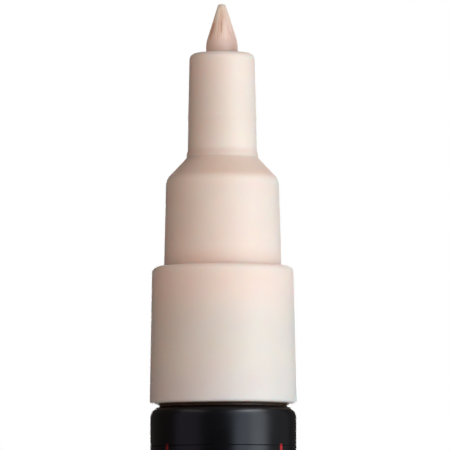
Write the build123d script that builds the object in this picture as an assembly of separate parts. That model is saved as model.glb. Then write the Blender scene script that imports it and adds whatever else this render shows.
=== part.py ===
from build123d import *
from math import cos, pi, sin, sqrt, tan, radians
import os

# A valve-action paint marker, standing nib up on its cap, which is pushed onto the tail.
# Millimetres. +Z runs along the marker to the nib. The origin is the middle of the cap's flat end.
# Radii build up from the nib outwards and heights build up from the cap's end to the nib's tip.

# Clearances, on radius or on height
running_gap = 0.05
press_gap = 0.03
contact_gap = 0.02
cap_gap = 0.075
seam_gap = 0.10
rib_root = 0.10

# Nib: a ground rod of bonded fibre
nib_radius = 1.26
nib_reach = 3.89
nib_tip_radius = 0.28
nib_tip_round = 0.15
nib_cone_angle = 17.7
nib_foot_round = 2.3
nib_tail_chamfer = 0.25
nib_travel = 1.6

# Front holder: nose, root ring, cone, cap seat, collar and the sleeve that goes into the barrel
nose_bore_step = 0.40
nose_wall = 0.845
nose_height = 7.76
nose_draft = 1.10
nose_round = 0.55
nose_guide_length = 3.0
nose_mouth_chamfer = 0.12
witness_drop = 5.20
witness_step = 0.03
root_step = 0.11
root_slope = 0.32
root_height = 0.55
root_round = 0.50
root_foot_round = 0.22
cone_angle = 43.7
cone_foot_round = 1.20
cap_seat_wall = 1.165
cap_seat_height = 6.88
cap_seat_draft = 1.77
chamber_room = 1.75
chamber_roof_drop = 0.05
chamber_fins = 4
chamber_fin_thickness = 0.80
chamber_fin_drop = 0.80
collar_proud = 0.02
collar_height = 10.86
collar_draft = 1.21
collar_top_round = 0.52
collar_foot_round = 0.32
shoulder_thickness = 2.0
neck_gap = 0.29
neck_bevel_width = 0.27
neck_bevel_height = 0.12
sleeve_wall = 1.17
sleeve_length = 9.0
sleeve_lead_in = 0.40
snap_bead_radius = 0.16
snap_bead_drop = 4.0
snap_groove_gap = 0.04

# Valve: body with its seat, washer, stem, spring and the retainer that closes it
stem_margin = 0.29
stem_rib_thickness = 0.90
stem_stand = 0.75
seat_thickness = 1.20
seal_setback = 0.10
seal_land = 0.70
seal_thickness = 0.80
poppet_thickness = 1.20
poppet_round = 0.15
paint_gap = 0.57
valve_wall = 0.80
valve_lip = 0.80
valve_lead_in = 0.25
pin_radius = 0.90
pin_stand = 0.60
pin_round = 0.30
pin_gap = 0.10
spring_wire_radius = 0.20
spring_room = 0.90
spring_pressed_length = 5.70
spring_turns = 6
retainer_thickness = 1.60
retainer_slots = 4
retainer_slot_width = 0.80
retainer_slot_inset = 0.25
retainer_bead_radius = 0.12

# Barrel: a plain moulded tube
barrel_wall = 0.80
barrel_length = 86.0
barrel_rim_height = 0.88
barrel_rim_land = 0.04
barrel_tail_round = 0.15

# Tail plug: a flange, a skirt in the barrel and a hollow post that the cap is pushed onto
flange_thickness = 1.60
flange_round = 0.20
skirt_length = 7.0
skirt_wall = 0.90
skirt_land_height = 0.80
skirt_land_depth = 0.12
skirt_lands = 2
post_room = 0.70
post_floor = 1.20
post_end_round = 0.45

# Stirring ball
ball_radius = 2.50
ball_room = 0.70

# Cap: shell with its clip, and the inner cup that shuts on the holder's cone
cap_length = 32.0
cap_draft = 0.30
cap_end_wall = 1.40
cap_end_round = 0.80
cap_mouth_round = 0.20
cap_mouth_chamfer = 0.25
cap_wall = 1.05
cap_ribs = 6
cap_rib_thickness = 0.80
cap_rib_drop = 3.0
liner_wall = 0.80
liner_floor = 0.90
liner_room = 0.105
liner_rim_chamfer = 0.30
clip_width = 3.4
clip_thickness = 1.2
clip_room = 0.90
clip_tip_drop = 6.5
clip_lip_height = 0.9
clip_root_height = 4.0
clip_root_round = 0.45
clip_root_sink = 0.60
clip_lift = 1.6
clip_heel_round = 2.4
clip_nub_height = 2.4
clip_nub_gap = 0.30
clip_edge_round = 0.40

# Radii that follow
guide_radius = nib_radius + running_gap
nose_bore_radius = guide_radius + nose_bore_step
nose_top_radius = nose_bore_radius + nose_wall
nose_foot_radius = nose_top_radius + nose_height * tan(radians(nose_draft))
root_radius = nose_foot_radius + root_step
stem_radius = nib_radius + stem_margin
orifice_radius = stem_radius + running_gap
seal_bore_radius = orifice_radius + seal_setback
poppet_radius = seal_bore_radius + seal_land
valve_bore_radius = poppet_radius + paint_gap
valve_radius = valve_bore_radius + valve_wall
pocket_radius = valve_radius + press_gap
sleeve_radius = pocket_radius + sleeve_wall
barrel_bore_radius = sleeve_radius + press_gap
barrel_radius = barrel_bore_radius + barrel_wall
collar_foot_radius = barrel_radius + collar_proud
collar_top_radius = collar_foot_radius - collar_height * tan(radians(collar_draft))
chamber_radius = stem_radius + chamber_room
cap_seat_top_radius = chamber_radius + cap_seat_wall
cap_seat_foot_radius = cap_seat_top_radius + cap_seat_height * tan(radians(cap_seat_draft))
cap_bore_radius = cap_seat_foot_radius + cap_gap
liner_bore_radius = root_radius + liner_room
liner_radius = liner_bore_radius + liner_wall
spring_radius = pin_radius + spring_room + spring_wire_radius
spring_length = spring_pressed_length + nib_travel

# Heights that follow, from the cap's end upwards
cone_height = (cap_seat_top_radius - root_radius) / tan(radians(cone_angle))
cap_mouth_z = cap_length
flange_z = cap_mouth_z + seam_gap
barrel_tail_z = flange_z + flange_thickness
barrel_rim_z = barrel_tail_z + barrel_length
collar_foot_z = barrel_rim_z + neck_gap
shoulder_z = collar_foot_z + collar_height
cone_foot_z = shoulder_z + cap_seat_height
cone_top_z = cone_foot_z + cone_height
root_top_z = cone_top_z + root_height
nose_top_z = root_top_z + nose_height
nib_tip_z = nose_top_z + nib_reach

# Heights inside, from the holder's stop downwards
stop_z = shoulder_z - shoulder_thickness
seat_z = stop_z - seat_thickness
seal_foot_z = seat_z - seal_thickness
poppet_top_z = seal_foot_z - contact_gap
poppet_foot_z = poppet_top_z - poppet_thickness
retainer_top_z = poppet_foot_z - spring_length
retainer_foot_z = retainer_top_z - retainer_thickness
valve_foot_z = retainer_foot_z - valve_lip
pin_foot_z = retainer_foot_z - pin_stand
nib_tail_z = stop_z + stem_stand
sleeve_foot_z = barrel_rim_z - sleeve_length
snap_bead_z = barrel_rim_z - snap_bead_drop
retainer_bead_z = retainer_foot_z + retainer_thickness / 2

# The inner cup's rim meets the cone when the cap is on the holder, and the tail's post ends short of it
liner_seat_radius = liner_bore_radius + liner_rim_chamfer / 2
liner_rim_depth = cap_seat_height + (cap_seat_top_radius - liner_seat_radius) / tan(radians(cone_angle))
liner_rim_z = cap_mouth_z - liner_rim_depth - contact_gap
post_foot_z = liner_rim_z + post_room
post_floor_z = post_foot_z + post_floor
ball_z = post_floor_z + running_gap + ball_radius


def turned(*outline, rounds=()):
    """Turn a closed outline of (radius, height) corners about Z, after rounding some of its corners."""
    face = make_face(Polyline(*outline, close=True))
    for radius, height, size in rounds:
        corner = face.vertices().sort_by_distance((radius, height, 0))[0]
        face = fillet(corner, size)
    return revolve(Plane.XZ * face, Axis.Z)


def ring_bead(radius, height, size):
    """Half-round bead, or the tool for its groove, round the axis."""
    return Pos(0, 0, height) * Torus(radius, size)


def fins(count, thickness, inner, outer, low, high):
    """Flat radial fins, evenly spaced round the axis."""
    middle = (inner + outer) / 2
    fin = Box(outer - inner, thickness, high - low)
    return [place * fin for place in Pos(0, 0, (low + high) / 2) * PolarLocations(middle, count)]


def make_nib():
    foot_height = nib_tip_z - (nib_radius - nib_tip_radius) / tan(radians(nib_cone_angle))
    return turned(
        (0, nib_tail_z),
        (nib_radius - nib_tail_chamfer, nib_tail_z),
        (nib_radius, nib_tail_z + nib_tail_chamfer),
        (nib_radius, foot_height),
        (nib_tip_radius, nib_tip_z),
        (0, nib_tip_z),
        rounds=[(nib_radius, foot_height, nib_foot_round), (nib_tip_radius, nib_tip_z, nib_tip_round)],
    )


def make_front_holder():
    witness_z = nose_top_z - witness_drop
    witness_radius = nose_top_radius + witness_drop * tan(radians(nose_draft))
    guide_foot_z = nose_top_z - nose_guide_length
    roof_foot_z = cone_foot_z - chamber_roof_drop
    roof_top_z = roof_foot_z + (chamber_radius - nose_bore_radius) / tan(radians(cone_angle))
    body = turned(
        (guide_radius, guide_foot_z),
        (guide_radius, nose_top_z - nose_mouth_chamfer),
        (guide_radius + nose_mouth_chamfer, nose_top_z),
        (nose_top_radius, nose_top_z),
        (witness_radius - witness_step, witness_z),
        (witness_radius, witness_z - witness_step),
        (nose_foot_radius, root_top_z),
        (root_radius, root_top_z - root_slope),
        (root_radius, cone_top_z),
        (cap_seat_top_radius, cone_foot_z),
        (cap_seat_foot_radius, shoulder_z),
        (collar_top_radius, shoulder_z),
        (collar_foot_radius, collar_foot_z),
        (sleeve_radius + neck_bevel_width, collar_foot_z),
        (sleeve_radius, collar_foot_z - neck_bevel_height),
        (sleeve_radius, sleeve_foot_z + sleeve_lead_in),
        (sleeve_radius - sleeve_lead_in / 2, sleeve_foot_z),
        (pocket_radius, sleeve_foot_z),
        (pocket_radius, stop_z),
        (chamber_radius, stop_z),
        (chamber_radius, roof_foot_z),
        (nose_bore_radius, roof_top_z),
        (nose_bore_radius, guide_foot_z),
        rounds=[
            (nose_top_radius, nose_top_z, nose_round),
            (nose_foot_radius, root_top_z, root_round),
            (root_radius, root_top_z - root_slope, root_round),
            (root_radius, cone_top_z, root_foot_round),
            (cap_seat_top_radius, cone_foot_z, cone_foot_round),
            (collar_top_radius, shoulder_z, collar_top_round),
            (collar_foot_radius, collar_foot_z, collar_foot_round),
        ],
    )
    fin_foot_z = nib_tail_z + chamber_fin_drop
    guide_fins = fins(
        chamber_fins, chamber_fin_thickness, guide_radius, chamber_radius + rib_root, fin_foot_z, roof_foot_z
    )
    return body + guide_fins + ring_bead(sleeve_radius, snap_bead_z, snap_bead_radius)


def make_valve_body():
    body = turned(
        (orifice_radius, stop_z),
        (valve_radius - valve_lead_in, stop_z),
        (valve_radius, stop_z - valve_lead_in),
        (valve_radius, valve_foot_z),
        (valve_bore_radius, valve_foot_z),
        (valve_bore_radius, seat_z),
        (orifice_radius, seat_z),
    )
    groove_radius = valve_bore_radius - press_gap
    return body - ring_bead(groove_radius, retainer_bead_z, retainer_bead_radius + press_gap)


def make_valve_seal():
    outer = valve_bore_radius - press_gap
    return turned(
        (seal_bore_radius, seal_foot_z), (outer, seal_foot_z), (outer, seat_z), (seal_bore_radius, seat_z)
    )


def make_valve_stem():
    poppet = turned(
        (0, poppet_foot_z),
        (poppet_radius, poppet_foot_z),
        (poppet_radius, poppet_top_z),
        (0, poppet_top_z),
        rounds=[(poppet_radius, poppet_foot_z, poppet_round)],
    )
    pin = turned(
        (0, pin_foot_z),
        (pin_radius, pin_foot_z),
        (pin_radius, poppet_foot_z),
        (0, poppet_foot_z),
        rounds=[(pin_radius, pin_foot_z, pin_round)],
    )
    shaft_height = nib_tail_z - poppet_top_z
    shaft_middle = Pos(0, 0, (nib_tail_z + poppet_top_z) / 2)
    rib = Box(2 * stem_radius, stem_rib_thickness, shaft_height)
    cross = shaft_middle * (rib + Rot(0, 0, 90) * rib)
    shaft = cross & (shaft_middle * Cylinder(stem_radius, shaft_height))
    return poppet + pin + shaft


def spring_point(turn):
    """Point on the spring's centre line and its direction there, after a number of turns."""
    foot = retainer_top_z + spring_wire_radius + contact_gap
    rise = spring_length - 2 * (spring_wire_radius + contact_gap)
    angle = 2 * pi * turn
    point = Vector(spring_radius * cos(angle), spring_radius * sin(angle), foot + rise * turn / spring_turns)
    along = 2 * pi * spring_radius
    direction = Vector(-along * sin(angle), along * cos(angle), rise / spring_turns).normalized()
    return point, direction


def half_turn(start):
    """Two arcs that leave and end along the helix, from one half turn of it to the next."""
    first, first_way = spring_point(start)
    last, last_way = spring_point(start + 0.5)
    chord = last - first
    both = first_way + last_way
    spread = 2 * (1 - first_way.dot(last_way))
    reach = (sqrt(chord.dot(both) ** 2 + spread * chord.dot(chord)) - chord.dot(both)) / spread
    middle = (first + first_way * reach + last - last_way * reach) * 0.5
    middle_way = (last - last_way * reach - first - first_way * reach).normalized()
    return [TangentArc(first, middle, tangent=first_way), TangentArc(middle, last, tangent=middle_way)]


def spring_gap():
    """Least gap between the spring's turns, measured on points a tenth of a turn apart."""
    steps_per_turn = 10
    points = [spring_point(step / steps_per_turn)[0] for step in range(spring_turns * steps_per_turn + 1)]
    far = [
        (one - other).length
        for index, one in enumerate(points)
        for other in points[index + steps_per_turn // 2 :]
    ]
    return min(far) - 2 * spring_wire_radius


def make_valve_spring():
    arcs = [arc for half in range(2 * spring_turns) for arc in half_turn(half / 2)]
    start, way = spring_point(0)
    section = Plane(origin=start, z_dir=way) * Circle(spring_wire_radius)
    return sweep(section, path=Wire(arcs))


def make_spring_retainer():
    outer = valve_bore_radius - press_gap
    hole = pin_radius + pin_gap
    disc = turned(
        (hole, retainer_foot_z), (outer, retainer_foot_z), (outer, retainer_top_z), (hole, retainer_top_z)
    )
    slots = fins(
        retainer_slots,
        retainer_slot_width,
        hole + retainer_slot_inset,
        outer - retainer_slot_inset,
        retainer_foot_z - contact_gap,
        retainer_top_z + contact_gap,
    )
    return disc - slots + ring_bead(outer, retainer_bead_z, retainer_bead_radius)


def make_barrel():
    rim_land = barrel_bore_radius + barrel_rim_land
    rim_width = barrel_radius - rim_land
    rim_foot_z = barrel_rim_z - barrel_rim_height
    wall = make_face(
        [
            Line((barrel_bore_radius, barrel_rim_z), (rim_land, barrel_rim_z)),
            EllipticalCenterArc((rim_land, rim_foot_z), rim_width, barrel_rim_height, 0, arc_size=90),
            Polyline(
                (barrel_radius, rim_foot_z),
                (barrel_radius, barrel_tail_z),
                (barrel_bore_radius, barrel_tail_z),
                (barrel_bore_radius, barrel_rim_z),
            ),
        ]
    )
    wall = fillet(wall.vertices().sort_by_distance((barrel_radius, barrel_tail_z, 0))[0], barrel_tail_round)
    tube = revolve(Plane.XZ * wall, Axis.Z)
    return tube - ring_bead(sleeve_radius, snap_bead_z, snap_bead_radius + snap_groove_gap)


def make_tail_plug():
    skirt_radius = barrel_bore_radius - press_gap
    skirt_top_z = barrel_tail_z + skirt_length
    skirt_bore_radius = skirt_radius - skirt_wall
    post_foot_radius = cap_seat_foot_radius - (flange_z - post_foot_z) * tan(radians(cap_seat_draft))
    post_bore_radius = ball_radius + ball_room
    body = turned(
        (0, post_foot_z),
        (post_foot_radius, post_foot_z),
        (cap_seat_foot_radius, flange_z),
        (barrel_radius, flange_z),
        (barrel_radius, barrel_tail_z),
        (skirt_radius - skirt_land_depth, barrel_tail_z),
        (skirt_radius - skirt_land_depth, skirt_top_z),
        (skirt_bore_radius, skirt_top_z),
        (skirt_bore_radius, barrel_tail_z + skirt_bore_radius - post_bore_radius),
        (post_bore_radius, barrel_tail_z),
        (post_bore_radius, post_floor_z),
        (0, post_floor_z),
        rounds=[
            (post_foot_radius, post_foot_z, post_end_round),
            (barrel_radius, flange_z, flange_round),
            (barrel_radius, barrel_tail_z, barrel_tail_round),
        ],
    )
    land_pitch = skirt_length / (skirt_lands + 1)
    for land in range(1, skirt_lands + 1):
        land_z = barrel_tail_z + land * land_pitch
        body += turned(
            (skirt_bore_radius, land_z - skirt_land_height / 2),
            (skirt_radius, land_z - skirt_land_height / 2),
            (skirt_radius, land_z + skirt_land_height / 2),
            (skirt_bore_radius, land_z + skirt_land_height / 2),
        )
    return body


def make_mixing_ball():
    return Pos(0, 0, ball_z) * Sphere(ball_radius)


def cap_radius(height):
    """Outside radius of the cap, which narrows to its closed end."""
    return barrel_radius - (cap_mouth_z - height) * tan(radians(cap_draft))


def make_clip():
    """Moulded clip down one side: root near the closed end, free tip with a nub towards the mouth."""
    inner = barrel_radius + clip_room
    outer = inner + clip_thickness
    wall = cap_radius(clip_lift) - clip_root_sink
    root_z = clip_lift + clip_root_height
    tip_z = cap_mouth_z - clip_tip_drop
    nub_middle_z = tip_z - clip_lip_height - clip_nub_height / 2
    side = make_face(
        [
            Polyline(
                (inner, nub_middle_z - clip_nub_height / 2),
                (inner, root_z),
                (wall, root_z),
                (wall, clip_lift),
                (outer, clip_lift),
                (outer, tip_z),
                (inner, tip_z),
                (inner, nub_middle_z + clip_nub_height / 2),
            ),
            ThreePointArc(
                (inner, nub_middle_z + clip_nub_height / 2),
                (barrel_radius + clip_nub_gap, nub_middle_z),
                (inner, nub_middle_z - clip_nub_height / 2),
            ),
        ]
    )
    for radius, height, size in [
        (inner, root_z, clip_root_round),
        (outer, clip_lift, clip_heel_round),
        (outer, tip_z, clip_edge_round),
    ]:
        side = fillet(side.vertices().sort_by_distance((radius, height, 0))[0], size)
    bar = Rot(0, 0, -90) * extrude(Plane.XZ * side, clip_width / 2, both=True)
    return fillet(bar.faces().sort_by(Axis.Y)[0].edges().filter_by(Axis.Z), clip_edge_round)


def make_cap_shell():
    hollow_radius = cap_radius(0) - cap_wall
    shelf_z = liner_rim_z
    body = turned(
        (0, 0),
        (cap_radius(0), 0),
        (barrel_radius, cap_mouth_z),
        (cap_bore_radius + cap_mouth_chamfer, cap_mouth_z),
        (cap_bore_radius, cap_mouth_z - cap_mouth_chamfer),
        (cap_bore_radius, shelf_z),
        (hollow_radius, shelf_z - (cap_bore_radius - hollow_radius)),
        (hollow_radius, cap_end_wall),
        (0, cap_end_wall),
        rounds=[(cap_radius(0), 0, cap_end_round), (barrel_radius, cap_mouth_z, cap_mouth_round)],
    )
    ribs = fins(
        cap_ribs,
        cap_rib_thickness,
        liner_radius + press_gap,
        hollow_radius + rib_root,
        cap_end_wall - rib_root,
        liner_rim_z - cap_rib_drop,
    )
    return body + ribs + make_clip()


def make_cap_liner():
    floor_z = cap_end_wall + liner_floor
    return turned(
        (0, cap_end_wall),
        (liner_radius, cap_end_wall),
        (liner_radius, liner_rim_z),
        (liner_bore_radius + liner_rim_chamfer, liner_rim_z),
        (liner_bore_radius, liner_rim_z - liner_rim_chamfer),
        (liner_bore_radius, floor_z),
        (0, floor_z),
    )


pieces = {
    "nib": make_nib(),
    "front_holder": make_front_holder(),
    "valve_body": make_valve_body(),
    "valve_seal": make_valve_seal(),
    "valve_stem": make_valve_stem(),
    "valve_spring": make_valve_spring(),
    "spring_retainer": make_spring_retainer(),
    "barrel": make_barrel(),
    "mixing_ball": make_mixing_ball(),
    "tail_plug": make_tail_plug(),
    "cap_shell": make_cap_shell(),
    "cap_liner": make_cap_liner(),
}

os.makedirs("parts", exist_ok=True)
for name, piece in pieces.items():
    export_step(piece, f"parts/{name}.step")

print(f"nib tip at {nib_tip_z:.2f}, barrel radius {barrel_radius:.2f}, least spring gap {spring_gap():.2f}")
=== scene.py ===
"""Looks of a valve-action paint marker with beige paint, standing nib up with its cap pushed onto its tail.

Sizes are in millimetres, and MM turns them into Blender's metres. Angles round the marker start at the
camera's side, which is -Y, and grow towards +X.
"""

import logging
from abc import ABC, abstractmethod
from collections.abc import Callable, Sequence
from dataclasses import dataclass
from enum import Enum, IntEnum
from functools import cache
from math import atan2, cos, degrees, exp, pi, radians, sin, tan
from typing import Any

import bmesh
import bpy
from mathutils import Matrix, Vector


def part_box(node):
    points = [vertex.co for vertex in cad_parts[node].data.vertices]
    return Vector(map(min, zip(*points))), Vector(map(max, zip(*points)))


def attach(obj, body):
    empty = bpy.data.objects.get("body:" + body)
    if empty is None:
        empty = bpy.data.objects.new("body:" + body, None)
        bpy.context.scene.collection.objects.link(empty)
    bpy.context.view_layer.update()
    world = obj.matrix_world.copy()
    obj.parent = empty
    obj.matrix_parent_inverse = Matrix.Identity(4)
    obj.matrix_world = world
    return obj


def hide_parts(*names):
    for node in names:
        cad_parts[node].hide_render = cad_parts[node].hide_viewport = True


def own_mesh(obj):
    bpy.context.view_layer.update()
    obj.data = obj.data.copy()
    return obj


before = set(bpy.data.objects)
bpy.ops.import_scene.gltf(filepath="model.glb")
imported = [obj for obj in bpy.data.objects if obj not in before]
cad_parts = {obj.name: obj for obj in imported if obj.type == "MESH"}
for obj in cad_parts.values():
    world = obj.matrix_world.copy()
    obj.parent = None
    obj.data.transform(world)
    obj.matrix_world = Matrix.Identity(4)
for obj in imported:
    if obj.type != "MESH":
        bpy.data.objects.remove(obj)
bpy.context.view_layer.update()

MM = 0.001
CREASE = radians(38)
LOG = logging.getLogger("paint_marker")

# Most of a grain's values lie between these two
GRAIN_LOW, GRAIN_HIGH = 0.3, 0.7
GRAIN_ENDS = {"From Min": GRAIN_LOW, "From Max": GRAIN_HIGH}

# Sockets of Blender's Mix node for colours, by number because their names repeat
MIX_SHARE, MIX_FIRST, MIX_SECOND = 0, 6, 7
MIXED = 2

# Blender's number for a bevel with a round section
ROUND_SECTION = 0.5

Point = tuple[float, float]
Colour = tuple[float, float, float, float]
Tree = bpy.types.NodeTree
Socket = bpy.types.NodeSocket


class Body(Enum):
    """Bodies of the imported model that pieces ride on."""

    CAP = "cap"
    MARKER = "marker"
    NIB = "nib"


class Slot(Enum):
    """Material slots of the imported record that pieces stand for."""

    NIB = "nib_fibre"
    HOLDER = "holder_plastic"
    BARREL = "barrel_plastic"
    CAP = "cap_plastic"
    SPRING = "spring_steel"


class Run(Enum):
    """How a grain is drawn out, as the scale of its coordinates in X, Y and Z."""

    EVEN = (1.0, 1.0, 1.0)
    ALONG = (1.0, 1.0, 0.05)


# Shared small tools


def linear(colour: str) -> Colour:
    """Turns an sRGB hex colour into linear red, green, blue and a full alpha.

    Args:
        colour: Six hex digits.

    Returns:
        The linear colour that Blender's sockets take.
    """
    parts = [int(colour[at : at + 2], 16) / 255 for at in (0, 2, 4)]
    bright = [part / 12.92 if part <= 0.04045 else ((part + 0.055) / 1.055) ** 2.4 for part in parts]
    return bright[0], bright[1], bright[2], 1.0


def add_node(
    tree: Tree, kind: str, sockets: dict[str | int, Any] | None = None, **settings: Any
) -> bpy.types.Node:
    """Adds a node with its settings, and sets or links its inputs.

    Args:
        tree: Tree that the node goes into.
        kind: Blender's name for the type of node.
        sockets: Inputs by name or number, each with a plain value or the output that feeds it.
        **settings: The node's own settings.

    Returns:
        The new node.
    """
    node = tree.nodes.new(kind)
    for name, value in settings.items():
        setattr(node, name, value)
    for key, value in (sockets or {}).items():
        if isinstance(value, Socket):
            tree.links.new(value, node.inputs[key])
        else:
            node.inputs[key].default_value = value
    return node


@cache
def reach(node: str) -> tuple[float, float, float]:
    """Outer radius across X, lowest height and highest height of a CAD node, in millimetres."""
    low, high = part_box(node)
    return high.x / MM, low.z / MM, high.z / MM


def turn_between(start: float, end: float) -> float:
    """Degrees from one angle round to another, from -180 to 180."""
    return (end - start + 180) % 360 - 180


# Finishes


@dataclass(frozen=True)
class Grain:
    """Random pattern with spots of a real size, fixed to the piece.

    Attributes:
        size: Size of a spot across the grain.
        run: How the grain is drawn out.
        detail: How many finer layers it has.
    """

    size: float
    run: Run = Run.EVEN
    detail: float = 2.0

    def value(self, tree: Tree, place: Socket | None = None) -> Socket:
        """Draws the grain in a material.

        Args:
            tree: The material's nodes.
            place: Coordinates to use in place of the piece's own.

        Returns:
            The grain's value, about 0.5 on average.
        """
        place = place or add_node(tree, "ShaderNodeTexCoord").outputs["Object"]
        drawn = add_node(tree, "ShaderNodeMapping", {"Vector": place, "Scale": self.run.value})
        spots = {"Vector": drawn.outputs[0], "Scale": 1 / (self.size * MM), "Detail": self.detail}
        return add_node(tree, "ShaderNodeTexNoise", spots).outputs[0]


@dataclass(frozen=True, kw_only=True)
class Finish(ABC):
    """What every finish starts from.

    Attributes:
        name: The material's common name and how its surface was made.
        colour: Main colour, sRGB hex.
        roughness: Least and most roughness over the surface.
        ior: Index of refraction.
        relief: Height of the surface's fine relief.
        depth: How far red, green and blue light goes in, or none where the pigment is too dense.
        metallic: 1 for a bare metal, otherwise 0.
    """

    name: str
    colour: str
    roughness: tuple[float, float]
    ior: float
    relief: float
    depth: tuple[float, float, float] | None = None
    metallic: float = 0.0

    @abstractmethod
    def paint(self, tree: Tree) -> tuple[Socket, Socket, Socket]:
        """Draws the finish's own patterns.

        Args:
            tree: The material's nodes.

        Returns:
            The colour, the grain that the shine follows and the grain that the relief follows.
        """

    def material(self) -> bpy.types.Material:
        """Makes the finish's material.

        Returns:
            A new material with one surface shader and the finish's patterns on it.
        """
        made = bpy.data.materials.new(self.name)
        made.use_nodes = True
        tree = made.node_tree
        tree.nodes.clear()
        colour, shine, relief = self.paint(tree)
        least, most = self.roughness
        shine_ends = {"Value": shine, **GRAIN_ENDS, "To Min": least, "To Max": most}
        bump = add_node(tree, "ShaderNodeBump", {"Height": relief, "Distance": self.relief * MM})
        surface = {
            "Base Color": colour,
            "Roughness": add_node(tree, "ShaderNodeMapRange", shine_ends).outputs[0],
            "Normal": bump.outputs[0],
            "IOR": self.ior,
            "Metallic": self.metallic,
        }
        if self.depth:
            surface["Subsurface Weight"] = 1.0
            surface["Subsurface Radius"] = [part * MM for part in self.depth]
            surface["Subsurface Scale"] = 1.0
        shader = add_node(tree, "ShaderNodeBsdfPrincipled", surface)
        add_node(tree, "ShaderNodeOutputMaterial", {"Surface": shader.outputs[0]})
        return made


@dataclass(frozen=True)
class Tint:
    """Colour that the front holder takes from some height upwards.

    Attributes:
        low: Height where the colour starts to show.
        high: Height from where it shows in full.
        colour: The colour, sRGB hex.
    """

    low: float
    high: float
    colour: str


@dataclass(frozen=True, kw_only=True)
class TranslucentPolypropylene(Finish):
    """Moulded translucent polypropylene of the front holder.

    Light goes some way into it, so shaded sides stay warm and edges soft. Paint shows through from the
    chamber above the valve, and the lower collar, with the pale valve behind it, looks creamier. The neck
    and the collar's underside are painted dark brown, as painted shade for the gap above the black barrel.
    The cap seat's foot, the upward-facing cone and the root ring are painted darker, as painted shade.

    Attributes:
        tints: Colours above the neck's, from below: collar, its creamier and warmer parts, painted shade at
        the cap seat's foot under the collar's top, cap seat, painted shade on the cone and on the root
        ring, and nose.
        flow: Faint clouds that the melt leaves.
        flow_colour: Tone of those clouds, sRGB hex.
        flow_share: How strong they are at most.
        grit: The tool's fine spark-eroded grain, drawn coarser than the real 0.03 so that it shows.
    """

    name: str = "polypropylene_translucent_moulded"
    # Painted shade: the neck and the collar's underside take this dark brown, for the shade in the gap above
    # the barrel.
    colour: str = "46301F"
    roughness: tuple[float, float] = (0.42, 0.52)
    ior: float = 1.49
    relief: float = 0.002
    depth: tuple[float, float, float] | None = (1.5, 0.85, 0.6)
    tints: tuple[Tint, ...] = (
        # Below this the collar's underside keeps the neck's dark brown: painted shade.
        Tint(119.91, 120.07, "E4E0DA"),
        Tint(121.0, 123.5, "E7E3D9"),
        Tint(125.6, 129.6, "F2E4D8"),
        # Painted shade: a darker, warmer band at the cap seat's foot, under the collar's top.
        Tint(130.7, 130.9, "EEDACC"),
        Tint(131.3, 132.4, "F2E4D8"),
        # Painted shade: the cone faces up, away from the lights, and is painted darker and warmer.
        Tint(137.5, 138.2, "F0D7C6"),
        # Painted shade: the root ring is painted a little darker.
        Tint(139.2, 139.5, "ECD9CB"),
        Tint(139.8, 140.3, "F2E4D8"),
    )
    flow: Grain = Grain(3.0)
    flow_colour: str = "F4EEEA"
    flow_share: float = 0.25
    grit: Grain = Grain(0.12)

    def paint(self, tree: Tree) -> tuple[Socket, Socket, Socket]:
        """Draws the change of colour with height, the clouds and the grit.

        Args:
            tree: The material's nodes.

        Returns:
            The colour, and the grit for both shine and relief.
        """
        place = add_node(tree, "ShaderNodeTexCoord")
        height = add_node(tree, "ShaderNodeSeparateXYZ", {0: place.outputs["Object"]}).outputs["Z"]
        colour: Socket | Colour = linear(self.colour)
        for tint in self.tints:
            ends = {"Value": height, "From Min": tint.low * MM, "From Max": tint.high * MM}
            past = add_node(tree, "ShaderNodeMapRange", ends, interpolation_type="SMOOTHSTEP")
            tones = {MIX_SHARE: past.outputs[0], MIX_FIRST: colour, MIX_SECOND: linear(tint.colour)}
            colour = add_node(tree, "ShaderNodeMix", tones, data_type="RGBA").outputs[MIXED]
        ends = {"Value": self.flow.value(tree), **GRAIN_ENDS, "To Max": self.flow_share}
        clouds = add_node(tree, "ShaderNodeMapRange", ends)
        tones = {MIX_SHARE: clouds.outputs[0], MIX_FIRST: colour, MIX_SECOND: linear(self.flow_colour)}
        clouded = add_node(tree, "ShaderNodeMix", tones, data_type="RGBA", blend_type="MULTIPLY")
        grit = self.grit.value(tree)
        return clouded.outputs[MIXED], grit, grit


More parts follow.
